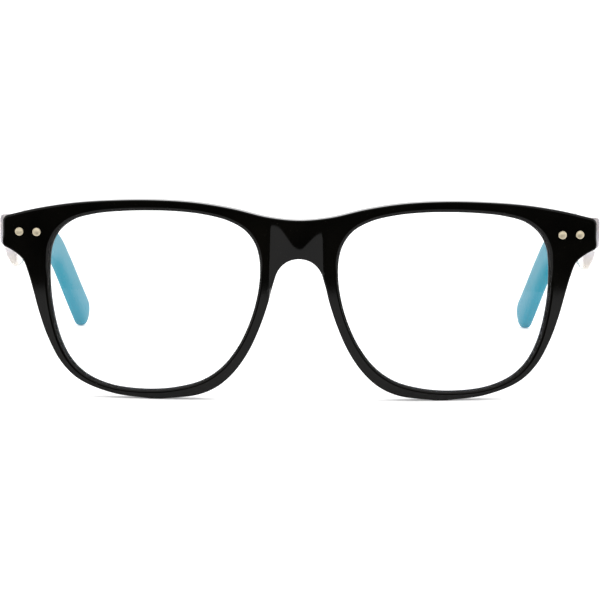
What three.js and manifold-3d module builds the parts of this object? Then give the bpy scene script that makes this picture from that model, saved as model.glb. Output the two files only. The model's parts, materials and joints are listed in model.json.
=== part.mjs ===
// Blue light glasses: a black acetate front with clear lenses, on clear acetate temples with cyan ear tips.
// Millimetres, +Z up. The wearer looks along -Y, and the wearer's left is +X.
// Shapes are drawn in their own flat plane and then bent: the front about a vertical axis behind it, and each
// temple inwards towards the ear. Depth y is counted backwards from the front of the bridge until the last
// step, which moves the origin to the middle of the footprint.

import * as THREE from "three";
import { mergeVertices } from "three/addons/utils/BufferGeometryUtils.js";
import Module from "manifold-3d";

// ---- Driving dimensions ----

const FRONT_THICKNESS = 4;
const BASE_CURVE_RADIUS = 300; // of the front's face, seen from above
const EDGE_CHAMFER = 0.6;
const END_SEAT_Y = 12.5; // flat back face of each end piece
const END_BLOCK_START_Y = 9.6; // the thicker block behind each end piece grows out of the plate here

const LENS_THICKNESS = 1.8;
const LENS_DEPTH = 2; // middle of the lens edge, behind the front's face
const LENS_EDGE_IN_GROOVE = 0.3; // how far the lens reaches into the rim
const GROOVE_DEPTH = 0.7;
const GROOVE_WIDTH = 2.5;

const HINGE_X = 65.85;
const HINGE_Y = 15.25;
const HINGE_Z = 39.6;
const KNUCKLE_RADIUS = 1.7;
const KNUCKLE_HEIGHT = 1.44;
const KNUCKLE_GAP = 0.06;
const KNUCKLE_COUNT = 5; // three on the front leaf, two on the temple leaf
const PIN_RADIUS = 0.65;
const PIN_CLEARANCE = 0.05;
const SCREW_HEAD_RADIUS = 1.3;
const SCREW_HEAD_HEIGHT = 0.7;
const SCREW_HEAD_CHAMFER = 0.2;
const SCREW_SLOT_WIDTH = 0.4;
const SCREW_SLOT_DEPTH = 0.3;
const LEAF_THICKNESS = 1;
const LEAF_HALF_HEIGHT = 3.9;
const FRONT_LEAF_INNER_X = 61.6;
const FRONT_LEAF_OUTER_X = 68.7;
const KNUCKLE_WEB = 1.2; // half the width of the metal that joins a knuckle to its leaf
const WELD_DEPTH = 0.3; // how far that metal runs into the leaf
const FACE_GAP = 0.05; // between two pieces that lie against each other

const RIVET_HEAD_RADIUS = 1;
const RIVET_HEAD_HEIGHT = 0.35;
const RIVET_DISH_RADIUS = 0.65;
const RIVET_DISH_DEPTH = 0.15;
const RIVET_DISH_SLOPE = 0.15;
const RIVET_EDGE_CHAMFER = 0.1;
const RIVET_SHANK_RADIUS = 0.6;
const FRONT_RIVET_X = { inner: 63, outer: 67.25 };
const TEMPLE_RIVET_Y = { front: 20.5, rear: 27 };

const TEMPLE_X = 70.6; // middle of the temple where it is straight
const TEMPLE_THICKNESS = 3.6;
const TEMPLE_START_Y = END_SEAT_Y + 0.3;
const TEMPLE_CHAMFER = 0.5;
const TEMPLE_STRAIGHT_END_Y = 58;
const TEMPLE_INWARD_BEND = 0.00125; // x lost per square millimetre past the straight stretch
const SPLICE_Y = 82; // where the clear acetate meets the cyan tip

const CORE_THICKNESS = 1.1;
const CORE_HALF_HEIGHT = 1.1;
const CORE_START_Y = 34;
const CORE_END_Y = 134;
const CORE_CLEARANCE = 0.3;
const CORE_CHAMFER = 0.2;
const SECTION_STEP = 4; // spacing of the cross-sections along a temple
const TIP_CENTRE_Y = 140; // where the rounded end begins
const END_ROUND_ANGLES = [20, 40, 58, 74];
const END_THINNING = 0.6; // how much of its thickness the tip loses towards its very end
const SEARCH_HALVINGS = 30; // steps of the search for a depth along the centre line

const PAD_THICKNESS = 2.4;
const PAD_CHAMFER = 0.5;
const PAD_GAP = 0.35; // room for the glue, where the back of the front curves away

const LENS_BAND_HALF_SPAN = 80;
const LENS_BAND_FACETS = 40;
const LENS_BAND_HEIGHT = 60; // more than the lens needs
const CUT_MARGIN = 5; // how far a cutting solid reaches past what it cuts

const CONTOUR_STEP = 2.6; // spacing of the points along the front's outlines
const ROUND_SIDES = 16;

// ---- Outlines ----

// The left half of the front's outer edge, as x and z above the table, mirrored for the right half.
const BROW = [
    [0, 43.3], [7.4, 44], [16.1, 46], [24.7, 47.3], [34, 47.8], [44, 47.6], [54, 46.8], [63, 45.3],
    [70.5, 43.4],
];
const END_CORNER = [71.55, 42.2];
const LOWER_SIDE = [
    [71.55, 36.2], [69.1, 34.9], [66.6, 32.9], [65.3, 29.8], [64.1, 25.7], [62.5, 19.9],
    [60.4, 14.1], [57.3, 8.4], [53, 4.3], [45, 1.2], [35.6, 0],
];
const NASAL_SIDE = [
    [33, 0], [24, 1.2], [19.3, 3.3], [15.4, 6.8], [12, 11.7], [9.3, 17.6], [7.3, 23.5], [6.2, 27.8],
    [4.9, 31.3], [2.8, 33.3], [0, 34],
];

// The thicker block of the left end piece, which carries the hinge.
const END_BLOCK = [
    [61.3, 44.6], [66, 43.7], [70.2, 42.6], [70.9, 41.8], [70.9, 36.8], [68.4, 35.5], [65.6, 33.4],
    [61.3, 33.4],
];

// The lens opening, from its top clockwise as seen from the front.
const LENS_OPENING = [
    [36, 45.25], [43, 44.95], [49.2, 44.2], [54.5, 42.6], [58, 39.8], [59.8, 36.2], [60.3, 32], [60.2, 26],
    [59.4, 20], [57.8, 14], [55.2, 9], [51.5, 5.5], [45.5, 3], [37, 2.1], [29.5, 2.7], [23.2, 4.5],
    [18.5, 7.7], [14.7, 12.5], [12, 18], [10.3, 23.4], [9.4, 29], [9.5, 34], [10.6, 37.7], [13, 40.8],
    [17.2, 43.1], [23, 44.5], [29.5, 45.15],
];

// Side view of the temple: its centre line as y and z, and how far its edges lie above and below that line.
const TEMPLE_CENTRE = [
    [12.8, 40], [35, 36.9], [60, 33.4], [85, 29.9], [101, 27.7], [111, 24.7], [121, 18.6], [145, 0.48],
];
const TEMPLE_EDGES = [
    [12.8, 3.2, 4], [20, 3.7, 4.9], [27, 4, 8], [33, 4.1, 9], [39, 4.1, 8.8], [60, 3.4, 6.3], [85, 3.1, 4.3],
    [105, 3.7, 4.1], [125, 4.3, 4.3], [145, 4.3, 4.3],
];

// Side view of the leaf on a temple, as y and z: it narrows towards the back as the temple slopes down.
const TEMPLE_LEAF = [
    [14, 36.4], [24, 36.4], [29.5, 36.8], [31, 37.8], [31, 39.6], [29.5, 40.6], [18, 42.4], [14, 42.4],
];

// The cushion of a nose pad, on the slope of the nose arch: x and z.
const NOSE_PAD_OUTLINE = [
    [6.9, 30], [8.3, 29.4], [9.2, 26.5], [11, 20], [11.8, 15.5], [10.6, 15.3], [9.4, 18.5], [7.6, 24.5],
];

// ---- Solids ----

const wasm = await Module();
wasm.setup();

function toSolid(geometry) {
    const bare = geometry.index ? geometry.toNonIndexed() : geometry.clone();
    bare.deleteAttribute("normal");
    bare.deleteAttribute("uv");
    const merged = mergeVertices(bare, 1e-5);
    return new wasm.Manifold(new wasm.Mesh({
        numProp: 3,
        vertProperties: new Float32Array(merged.attributes.position.array),
        triVerts: new Uint32Array(merged.index.array),
    }));
}

function toGeometry(solid) {
    const mesh = solid.getMesh();
    const geometry = new THREE.BufferGeometry();
    geometry.setAttribute("position", new THREE.BufferAttribute(new Float32Array(mesh.vertProperties), 3));
    geometry.setIndex(new THREE.BufferAttribute(new Uint32Array(mesh.triVerts), 1));
    geometry.computeVertexNormals();
    return geometry;
}

function splineThrough(points, closed = false) {
    const knots = points.map(([a, b]) => new THREE.Vector3(a, b, 0));
    return new THREE.CatmullRomCurve3(knots, closed, "centripetal");
}

// Evenly spaced points of one smooth curve through the given ones.
function smooth(points, step = CONTOUR_STEP, closed = false) {
    const curve = splineThrough(points, closed);
    const pieces = Math.max(2, Math.round(curve.getLength() / step));
    const spaced = curve.getSpacedPoints(pieces).map((p) => [p.x, p.y]);
    return closed ? spaced.slice(0, -1) : spaced;
}

function mirrored(points) {
    return points.map(([x, z]) => [-x, z]).reverse();
}

function toVectors(points) {
    return points.map(([a, b]) => new THREE.Vector2(a, b));
}

// Moves a closed outline outwards by a distance, along the normal at each point.
function grow(points, distance) {
    const sign = THREE.ShapeUtils.isClockWise(toVectors(points)) ? 1 : -1;
    return points.map(([x, z], i) => {
        const before = points[(i + points.length - 1) % points.length];
        const after = points[(i + 1) % points.length];
        const dx = after[0] - before[0];
        const dz = after[1] - before[1];
        const length = Math.hypot(dx, dz);
        return [x - (sign * distance * dz) / length, z + (sign * distance * dx) / length];
    });
}

// A flat plate in the x-z plane: outline (with holes) from depth y0 to y1, with chamfered edges if asked.
function facePlate(outline, y0, y1, { holes = [], chamfer = 0 } = {}) {
    const points = toVectors(outline);
    const shape = new THREE.Shape(THREE.ShapeUtils.isClockWise(points) ? points.reverse() : points);
    shape.holes = holes.map((hole) => new THREE.Path(toVectors(hole)));
    const geometry = new THREE.ExtrudeGeometry(shape, {
        depth: y1 - y0 - 2 * chamfer,
        steps: 1,
        bevelEnabled: chamfer > 0,
        bevelThickness: chamfer,
        bevelSize: chamfer,
        bevelOffset: -chamfer,
        bevelSegments: 1,
    });
    geometry.rotateX(Math.PI / 2);
    geometry.translate(0, y1 - chamfer, 0);
    return geometry;
}

function move(geometry, change) {
    const position = geometry.attributes.position;
    const point = new THREE.Vector3();
    for (let i = 0; i < position.count; i += 1) {
        change(point.fromBufferAttribute(position, i));
        position.setXYZ(i, point.x, point.y, point.z);
    }
    return geometry;
}

// Wraps a flat front about the vertical axis of its base curve. Depth stays square to the face.
function wrapFace(point) {
    const angle = point.x / BASE_CURVE_RADIUS;
    const radius = BASE_CURVE_RADIUS - point.y;
    point.x = radius * Math.sin(angle);
    point.y = BASE_CURVE_RADIUS - radius * Math.cos(angle);
}

// Carries a flat temple out to its place and bends its ear end inwards.
function placeTemple(point) {
    const past = Math.max(0, point.y - TEMPLE_STRAIGHT_END_Y);
    point.x += TEMPLE_X - TEMPLE_INWARD_BEND * past * past;
}

// How far along the flat front a point lies, for its place x once the front is wrapped.
function flatX(x) {
    return BASE_CURVE_RADIUS * Math.asin(x / BASE_CURVE_RADIUS);
}

function faceY(x) {
    return BASE_CURVE_RADIUS - Math.sqrt(BASE_CURVE_RADIUS ** 2 - x ** 2);
}

// A turned piece: profile of radius and height, standing on z = 0 about the z axis.
function turned(profile, sides = ROUND_SIDES) {
    return new THREE.LatheGeometry(toVectors(profile), sides).rotateX(Math.PI / 2);
}

function rod(radius, z0, z1, sides = ROUND_SIDES) {
    return turned([[0, z1], [radius, z1], [radius, z0], [0, z0]].reverse(), sides);
}

function block(x0, x1, y0, y1, z0, z1) {
    const box = new THREE.BoxGeometry(x1 - x0, y1 - y0, z1 - z0);
    return box.translate((x0 + x1) / 2, (y0 + y1) / 2, (z0 + z1) / 2);
}

// ---- Front ----

function frontOutline() {
    const brow = smooth([...mirrored(BROW).slice(0, -1), ...BROW].map(([x, z]) => [flatX(x), z]));
    const lowerSide = smooth(LOWER_SIDE.map(([x, z]) => [flatX(x), z]));
    const end = [[flatX(END_CORNER[0]), END_CORNER[1]], ...lowerSide];
    const arch = smooth([...NASAL_SIDE, ...mirrored(NASAL_SIDE).slice(1)]);
    return [...brow, ...end, ...arch, ...mirrored(end)];
}

function lensOutline(side, growth) {
    const opening = smooth(LENS_OPENING.map(([x, z]) => [flatX(x), z]), CONTOUR_STEP, true);
    const outline = growth === 0 ? opening : grow(opening, growth);
    return side > 0 ? outline : mirrored(outline);
}

function makeFront() {
    const plate = facePlate(frontOutline(), 0, FRONT_THICKNESS, {
        holes: [lensOutline(1, 0), lensOutline(-1, 0)],
        chamfer: EDGE_CHAMFER,
    });
    let solid = toSolid(move(plate, wrapFace));
    for (const side of [1, -1]) {
        const blockOutline = side > 0 ? END_BLOCK : mirrored(END_BLOCK);
        solid = solid.add(toSolid(facePlate(blockOutline, END_BLOCK_START_Y, END_SEAT_Y)));
        const groove = facePlate(
            lensOutline(side, GROOVE_DEPTH), LENS_DEPTH - GROOVE_WIDTH / 2, LENS_DEPTH + GROOVE_WIDTH / 2,
        );
        solid = solid.subtract(toSolid(move(groove, wrapFace)));
        for (const x of Object.values(FRONT_RIVET_X)) {
            solid = solid.subtract(frontRivetHole(side * x));
        }
    }
    return toGeometry(solid);
}

function frontRivetHole(x) {
    const hole = rod(RIVET_SHANK_RADIUS + FACE_GAP, 0, END_SEAT_Y + CUT_MARGIN).rotateX(-Math.PI / 2);
    return toSolid(hole.translate(x, 0, HINGE_Z));
}

// The lens follows the front's base curve, so it is cut out of a curved band by its outline.
function makeLens(side) {
    const nearFace = [];
    const farFace = [];
    for (let i = 0; i <= LENS_BAND_FACETS; i += 1) {
        const x = LENS_BAND_HALF_SPAN * ((2 * i) / LENS_BAND_FACETS - 1);
        nearFace.push([x, LENS_DEPTH - LENS_THICKNESS / 2 + faceY(x)]);
        farFace.push([x, LENS_DEPTH + LENS_THICKNESS / 2 + faceY(x)]);
    }
    const band = new THREE.Shape(toVectors([...nearFace, ...farFace.reverse()]));
    const bandGeometry = new THREE.ExtrudeGeometry(band, { depth: LENS_BAND_HEIGHT, bevelEnabled: false });
    const outline = lensOutline(side, LENS_EDGE_IN_GROOVE).map(([x, z]) => {
        return [(BASE_CURVE_RADIUS - LENS_DEPTH) * Math.sin(x / BASE_CURVE_RADIUS), z];
    });
    const prism = facePlate(outline, -CUT_MARGIN, END_SEAT_Y + CUT_MARGIN);
    return toGeometry(toSolid(prism).intersect(toSolid(bandGeometry)));
}

function makeNosePad(side) {
    const outline = smooth(NOSE_PAD_OUTLINE, 1.6, true);
    const pad = facePlate(side > 0 ? outline : mirrored(outline), 0, PAD_THICKNESS, { chamfer: PAD_CHAMFER });
    return pad.translate(0, FRONT_THICKNESS + PAD_GAP, 0);
}

// ---- Hinges ----

function knuckleHeights(index) {
    const pitch = KNUCKLE_HEIGHT + KNUCKLE_GAP;
    const bottom = HINGE_Z - (KNUCKLE_COUNT * pitch - KNUCKLE_GAP) / 2 + index * pitch;
    return [bottom, bottom + KNUCKLE_HEIGHT];
}

function boreForPin(solid, radius = PIN_RADIUS + PIN_CLEARANCE) {
    const reach = LEAF_HALF_HEIGHT + CUT_MARGIN;
    const bore = rod(radius, HINGE_Z - reach, HINGE_Z + reach);
    return solid.subtract(toSolid(bore.translate(HINGE_X, HINGE_Y, 0)));
}

function makeFrontLeaf() {
    const plateBack = END_SEAT_Y + FACE_GAP + LEAF_THICKNESS;
    let solid = toSolid(block(
        FRONT_LEAF_INNER_X, FRONT_LEAF_OUTER_X, END_SEAT_Y + FACE_GAP, plateBack,
        HINGE_Z - LEAF_HALF_HEIGHT, HINGE_Z + LEAF_HALF_HEIGHT,
    ));
    for (const index of [0, 2, 4]) {
        const [z0, z1] = knuckleHeights(index);
        solid = solid.add(toSolid(rod(KNUCKLE_RADIUS, z0, z1).translate(HINGE_X, HINGE_Y, 0)));
        const webStart = plateBack - WELD_DEPTH;
        const web = block(HINGE_X - KNUCKLE_WEB, HINGE_X + KNUCKLE_WEB, webStart, HINGE_Y, z0, z1);
        solid = solid.add(toSolid(web));
    }
    for (const x of Object.values(FRONT_RIVET_X)) {
        solid = solid.subtract(frontRivetHole(x));
    }
    return toGeometry(boreForPin(solid));
}

function templeRivetHole(y) {
    const reach = TEMPLE_THICKNESS / 2 + CUT_MARGIN;
    const hole = rod(RIVET_SHANK_RADIUS + FACE_GAP, -reach, reach).rotateY(Math.PI / 2);
    return toSolid(hole.translate(TEMPLE_X, y, HINGE_Z));
}

function makeTempleLeaf() {
    const outerX = TEMPLE_X - TEMPLE_THICKNESS / 2 - FACE_GAP;
    const innerX = outerX - LEAF_THICKNESS;
    let solid = toSolid(facePlate(TEMPLE_LEAF, -outerX, -innerX).rotateZ(Math.PI / 2));
    for (const index of [1, 3]) {
        const [z0, z1] = knuckleHeights(index);
        solid = solid.add(toSolid(rod(KNUCKLE_RADIUS, z0, z1).translate(HINGE_X, HINGE_Y, 0)));
        const web = block(HINGE_X, innerX + WELD_DEPTH, HINGE_Y - KNUCKLE_WEB, HINGE_Y + KNUCKLE_WEB, z0, z1);
        solid = solid.add(toSolid(web));
    }
    for (const y of Object.values(TEMPLE_RIVET_Y)) {
        solid = solid.subtract(templeRivetHole(y));
    }
    return toGeometry(boreForPin(solid));
}

function makeHingeScrew() {
    const top = knuckleHeights(KNUCKLE_COUNT - 1)[1] + FACE_GAP;
    const bottom = knuckleHeights(0)[0];
    const head = top + SCREW_HEAD_HEIGHT;
    const profile = [
        [0, bottom], [PIN_RADIUS, bottom], [PIN_RADIUS, top], [SCREW_HEAD_RADIUS, top],
        [SCREW_HEAD_RADIUS, head - SCREW_HEAD_CHAMFER], [SCREW_HEAD_RADIUS - SCREW_HEAD_CHAMFER, head],
        [0, head],
    ];
    const reach = SCREW_HEAD_RADIUS + CUT_MARGIN;
    const halfSlot = SCREW_SLOT_WIDTH / 2;
    const slot = block(-reach, reach, -halfSlot, halfSlot, head - SCREW_SLOT_DEPTH, head + CUT_MARGIN);
    const screw = toSolid(turned(profile)).subtract(toSolid(slot));
    return toGeometry(screw).translate(HINGE_X, HINGE_Y, 0);
}

// ---- Rivets ----

// A dished head on z = 0 and a shank below it.
function makeRivet(shankLength) {
    const shoulder = RIVET_HEAD_HEIGHT - RIVET_EDGE_CHAMFER;
    const dishFloor = RIVET_HEAD_HEIGHT - RIVET_DISH_DEPTH;
    return turned([
        [0, -shankLength], [RIVET_SHANK_RADIUS, -shankLength], [RIVET_SHANK_RADIUS, 0],
        [RIVET_HEAD_RADIUS, 0], [RIVET_HEAD_RADIUS, shoulder],
        [RIVET_HEAD_RADIUS - RIVET_EDGE_CHAMFER, RIVET_HEAD_HEIGHT], [RIVET_DISH_RADIUS, RIVET_HEAD_HEIGHT],
        [RIVET_DISH_RADIUS - RIVET_DISH_SLOPE, dishFloor], [0, dishFloor],
    ]);
}

function makeFrontRivet(x) {
    const headY = faceY(x - RIVET_HEAD_RADIUS) - FACE_GAP;
    const length = END_SEAT_Y + FACE_GAP + LEAF_THICKNESS - headY;
    return makeRivet(length).rotateX(Math.PI / 2).translate(x, headY, HINGE_Z);
}

function makeTempleRivet(y) {
    const outerX = TEMPLE_X + TEMPLE_THICKNESS / 2 + FACE_GAP;
    const length = TEMPLE_THICKNESS + 2 * FACE_GAP + LEAF_THICKNESS;
    return makeRivet(length).rotateY(Math.PI / 2).translate(outerX, y, HINGE_Z);
}

// ---- Temples ----

// A point of the temple's centre line in side view, with the direction it heads in.
function centreAt(y) {
    const spline = splineThrough(TEMPLE_CENTRE);
    let low = 0;
    let high = 1;
    for (let i = 0; i < SEARCH_HALVINGS; i += 1) {
        const middle = (low + high) / 2;
        if (spline.getPoint(middle).x < y) {
            low = middle;
        } else {
            high = middle;
        }
    }
    const point = spline.getPoint(low);
    const tangent = spline.getTangent(low);
    return { y: point.x, z: point.y, heading: Math.atan2(tangent.y, tangent.x) };
}

function interpolate(table, at, column = 1) {
    const next = Math.max(1, table.findIndex((row) => row[0] >= at));
    const before = table[next - 1];
    const after = table[next];
    return THREE.MathUtils.lerp(before[column], after[column], (at - before[0]) / (after[0] - before[0]));
}

// One cross-section of a temple strip: a chamfered rectangle square to the centre line.
function section({ y, z, heading }, up, down, thickness, chamfer) {
    const side = thickness / 2;
    const corners = [
        [side, up - chamfer], [side - chamfer, up], [chamfer - side, up], [-side, up - chamfer],
        [-side, chamfer - down], [chamfer - side, -down], [side - chamfer, -down], [side, chamfer - down],
    ];
    return corners.map(([x, n]) => {
        const point = new THREE.Vector3(x, y - n * Math.sin(heading), z + n * Math.cos(heading));
        placeTemple(point);
        return point;
    });
}

// Joins cross-sections of equal point count into one closed solid.
function loft(sections) {
    const size = sections[0].length;
    const vertices = sections.flat().flatMap((point) => [point.x, point.y, point.z]);
    const faces = [];
    for (let i = 0; i + 1 < sections.length; i += 1) {
        for (let j = 0; j < size; j += 1) {
            const a = i * size + j;
            const b = i * size + ((j + 1) % size);
            faces.push(a, a + size, b, b, a + size, b + size);
        }
    }
    const last = (sections.length - 1) * size;
    for (let j = 1; j + 1 < size; j += 1) {
        faces.push(0, j, j + 1, last, last + j + 1, last + j);
    }
    const geometry = new THREE.BufferGeometry();
    geometry.setAttribute("position", new THREE.Float32BufferAttribute(vertices, 3));
    geometry.setIndex(faces);
    return geometry;
}

function spacedDepths(y0, y1, step) {
    const count = Math.ceil((y1 - y0) / step);
    return Array.from({ length: count + 1 }, (_, i) => y0 + ((y1 - y0) * i) / count);
}

// The acetate between two depths; its cut ends are upright.
function acetateSections(y0, y1) {
    return spacedDepths(y0, y1, SECTION_STEP).map((y) => {
        const place = centreAt(y);
        const isCut = y === TEMPLE_START_Y || Math.abs(y - SPLICE_Y) < 1;
        const up = interpolate(TEMPLE_EDGES, y, 1);
        const down = interpolate(TEMPLE_EDGES, y, 2);
        return section(isCut ? { ...place, heading: 0 } : place, up, down, TEMPLE_THICKNESS, TEMPLE_CHAMFER);
    });
}

// The rounded end of the tip: sections that shrink along a half circle.
function roundEndSections() {
    const end = centreAt(TIP_CENTRE_Y);
    const radius = interpolate(TEMPLE_EDGES, TIP_CENTRE_Y, 1);
    return END_ROUND_ANGLES.map((degrees) => {
        const angle = THREE.MathUtils.degToRad(degrees);
        const ahead = radius * Math.sin(angle);
        const place = {
            y: end.y + ahead * Math.cos(end.heading),
            z: end.z + ahead * Math.sin(end.heading),
            heading: end.heading,
        };
        const half = radius * Math.cos(angle);
        const thickness = TEMPLE_THICKNESS * (1 - END_THINNING * (1 - Math.cos(angle)));
        return section(place, half, half, thickness, TEMPLE_CHAMFER);
    });
}

function coreStrip(y0, y1, clearance) {
    const half = CORE_HALF_HEIGHT + clearance;
    const thickness = CORE_THICKNESS + 2 * clearance;
    return loft(spacedDepths(y0, y1, SECTION_STEP).map((y) => {
        return section(centreAt(y), half, half, thickness, CORE_CHAMFER);
    }));
}

function coreSlot() {
    return toSolid(coreStrip(CORE_START_Y - CORE_CLEARANCE, CORE_END_Y + CORE_CLEARANCE, CORE_CLEARANCE));
}

function makeTemple() {
    let solid = toSolid(loft(acetateSections(TEMPLE_START_Y, SPLICE_Y))).subtract(coreSlot());
    for (const y of Object.values(TEMPLE_RIVET_Y)) {
        solid = solid.subtract(templeRivetHole(y));
    }
    return toGeometry(solid);
}

function makeTempleTip() {
    const sections = [...acetateSections(SPLICE_Y + FACE_GAP, TIP_CENTRE_Y), ...roundEndSections()];
    return toGeometry(toSolid(loft(sections)).subtract(coreSlot()));
}

function makeCoreWire() {
    return coreStrip(CORE_START_Y, CORE_END_Y, 0);
}

// ---- Assembly ----

const BLACK_ACETATE = { color: 0x0c0c0b, roughness: 0.12, metalness: 0 };
const CLEAR_ACETATE = { color: 0xe9e6ea, roughness: 0.1, metalness: 0, transparent: true, opacity: 0.5 };
const CYAN_ACETATE = { color: 0x5fadc4, roughness: 0.2, metalness: 0 };
const CLEAR_LENS = { color: 0xf4f7f8, roughness: 0.02, metalness: 0, transparent: true, opacity: 0.2 };
const NICKEL = { color: 0xc9bb98, roughness: 0.3, metalness: 1 };
const STEEL = { color: 0x9fa3a6, roughness: 0.3, metalness: 1 };

const glasses = new THREE.Group();

function addPiece(name, geometry, look) {
    const mesh = new THREE.Mesh(geometry, new THREE.MeshStandardMaterial(look));
    mesh.name = name;
    glasses.add(mesh);
    return mesh;
}

// Mirrors a piece of the wearer's left side to the right, keeping its faces outwards.
function forSide(geometry, side) {
    if (side > 0) {
        return geometry;
    }
    const flipped = (geometry.index ? geometry.toNonIndexed() : geometry).clone().scale(-1, 1, 1);
    const position = flipped.attributes.position;
    for (let i = 0; i < position.count; i += 3) {
        const [ax, ay, az] = [position.getX(i), position.getY(i), position.getZ(i)];
        position.setXYZ(i, position.getX(i + 1), position.getY(i + 1), position.getZ(i + 1));
        position.setXYZ(i + 1, ax, ay, az);
    }
    return flipped;
}

addPiece("front", makeFront(), BLACK_ACETATE);
for (const [name, side] of [["left", 1], ["right", -1]]) {
    addPiece(`${name}_lens`, makeLens(side), CLEAR_LENS);
    addPiece(`${name}_nose_pad`, makeNosePad(side), BLACK_ACETATE);
    addPiece(`${name}_front_hinge_leaf`, forSide(makeFrontLeaf(), side), STEEL);
    addPiece(`${name}_hinge_screw`, forSide(makeHingeScrew(), side), STEEL);
    addPiece(`${name}_temple_hinge_leaf`, forSide(makeTempleLeaf(), side), STEEL);
    for (const [place, x] of Object.entries(FRONT_RIVET_X)) {
        addPiece(`${name}_front_rivet_${place}`, forSide(makeFrontRivet(x), side), NICKEL);
    }
    for (const [place, y] of Object.entries(TEMPLE_RIVET_Y)) {
        addPiece(`${name}_temple_rivet_${place}`, forSide(makeTempleRivet(y), side), NICKEL);
    }
    addPiece(`${name}_temple`, forSide(makeTemple(), side), CLEAR_ACETATE);
    addPiece(`${name}_temple_tip`, forSide(makeTempleTip(), side), CYAN_ACETATE);
    addPiece(`${name}_core_wire`, forSide(makeCoreWire(), side), STEEL);
}

const extent = new THREE.Box3().setFromObject(glasses, true);
glasses.position.set(0, -(extent.min.y + extent.max.y) / 2, -extent.min.z);

export default glasses;
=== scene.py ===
"""Blue light glasses: the looks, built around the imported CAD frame.

Shapes are drawn in millimetres. A drawn point is (x, depth, z): x to the wearer's left, depth behind the
front of the bridge, z above the table. The front is drawn flat and then wrapped about its base curve.
"""

import json
import math

import bmesh
import bpy
import numpy as np
from mathutils import Matrix, Vector, geometry


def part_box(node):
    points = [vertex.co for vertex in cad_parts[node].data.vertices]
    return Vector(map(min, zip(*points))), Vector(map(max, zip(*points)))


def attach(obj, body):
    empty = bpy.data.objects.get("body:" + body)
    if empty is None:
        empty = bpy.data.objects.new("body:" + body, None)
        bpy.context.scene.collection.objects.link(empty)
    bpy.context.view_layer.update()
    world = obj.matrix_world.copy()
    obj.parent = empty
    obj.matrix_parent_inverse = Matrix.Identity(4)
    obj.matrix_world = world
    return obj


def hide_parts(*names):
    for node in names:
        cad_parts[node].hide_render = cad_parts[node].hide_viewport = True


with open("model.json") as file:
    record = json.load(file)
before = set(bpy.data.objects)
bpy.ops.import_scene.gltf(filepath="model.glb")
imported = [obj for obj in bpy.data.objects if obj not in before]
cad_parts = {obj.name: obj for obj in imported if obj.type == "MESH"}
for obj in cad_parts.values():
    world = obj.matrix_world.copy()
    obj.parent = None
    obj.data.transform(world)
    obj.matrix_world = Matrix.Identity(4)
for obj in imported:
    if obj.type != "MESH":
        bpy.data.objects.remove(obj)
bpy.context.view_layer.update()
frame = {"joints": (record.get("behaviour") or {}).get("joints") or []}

MM = 0.001
SIDES = (("left", 1), ("right", -1))
PIVOTS = {joint["name"]: Vector(joint["pos_m"]) / MM for joint in frame["joints"]}
FACE_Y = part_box("front")[0].y / MM  # the front of the bridge, in the row frame

# ---- Sizes, as in the CAD; only the corners of the end pieces are drawn finer ----

BASE_CURVE_RADIUS = 300.0  # of the bend of the front, about an upright axis behind it
FRONT_THICKNESS = 4.0
SEAT_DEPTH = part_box("front")[1].y / MM - FACE_Y
TEMPLE_X = 70.6
TEMPLE_THICKNESS = 3.6
TEMPLE_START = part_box("left_temple")[0].y / MM - FACE_Y
TEMPLE_STRAIGHT_END = 58.0
TEMPLE_INWARD_BEND = 0.00125  # x lost per square millimetre past the straight stretch
SPLICE = 82.0  # where the clear acetate meets the cyan tip
TIP_CENTRE = 140.0  # where the rounded end begins
CORE_START = 34.0
CORE_END = 134.0
HINGE_Z = PIVOTS["left_temple_fold"].z
HINGE_X = PIVOTS["left_temple_fold"].x
HINGE_DEPTH = PIVOTS["left_temple_fold"].y - FACE_Y

BROW = [
    (0, 43.3), (7.4, 44), (16.1, 46), (24.7, 47.3), (34, 47.8), (44, 47.6), (54, 46.8), (63, 45.3),
    (70.3, 43.5),
]
END_CORNERS = ((71.55, 43.1), (71.55, 36.2))
LOWER_SIDE = [
    (70.9, 35.8), (69.1, 34.9), (66.6, 32.9), (65.3, 29.8), (64.1, 25.7), (62.5, 19.9), (60.4, 14.1),
    (57.3, 8.4), (53, 4.3), (45, 1.2), (35.6, 0),
]
NASAL_SIDE = [
    (33, 0), (24, 1.2), (19.3, 3.3), (15.4, 6.8), (12, 11.7), (9.3, 17.6), (7.3, 23.5), (6.2, 27.8),
    (4.9, 31.3), (2.8, 33.3), (0, 34),
]
LENS_OPENING = [
    (36, 45.25), (43, 44.95), (49.2, 44.2), (54.5, 42.6), (58, 39.8), (59.8, 36.2), (60.3, 32), (60.2, 26),
    (59.4, 20), (57.8, 14), (55.2, 9), (51.5, 5.5), (45.5, 3), (37, 2.1), (29.5, 2.7), (23.2, 4.5),
    (18.5, 7.7), (14.7, 12.5), (12, 18), (10.3, 23.4), (9.4, 29), (9.5, 34), (10.6, 37.7), (13, 40.8),
    (17.2, 43.1), (23, 44.5), (29.5, 45.15),
]
# Line of a temple's centre in side view, as depth and z.
TEMPLE_CENTRE = [
    (12.8, 40), (35, 36.9), (60, 33.4), (85, 29.9), (101, 27.7), (111, 24.7), (121, 18.6), (145, 0.48),
]
# Depth, and how far the temple reaches above and below its centre there.
TEMPLE_EDGES = np.array([
    (12.8, 3.2, 4), (20, 3.7, 4.9), (27, 4, 8), (33, 4.1, 9), (39, 4.1, 8.8), (60, 3.4, 6.3), (85, 3.1, 4.3),
    (105, 3.7, 4.1), (125, 4.3, 4.3), (146, 4.3, 4.3),
])

SEAT_EDGE_X = (61.3, 62.6)  # where the back of an end piece steps up to its hinge seat
SEAT_EDGE_Z = (31.2, 34.2)

LEAF_THICKNESS = 1.0
KNUCKLE_WEB = 1.2  # half the width of the metal that joins a knuckle to its leaf
WELD_DEPTH = 0.3  # how far that metal runs into the leaf
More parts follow.
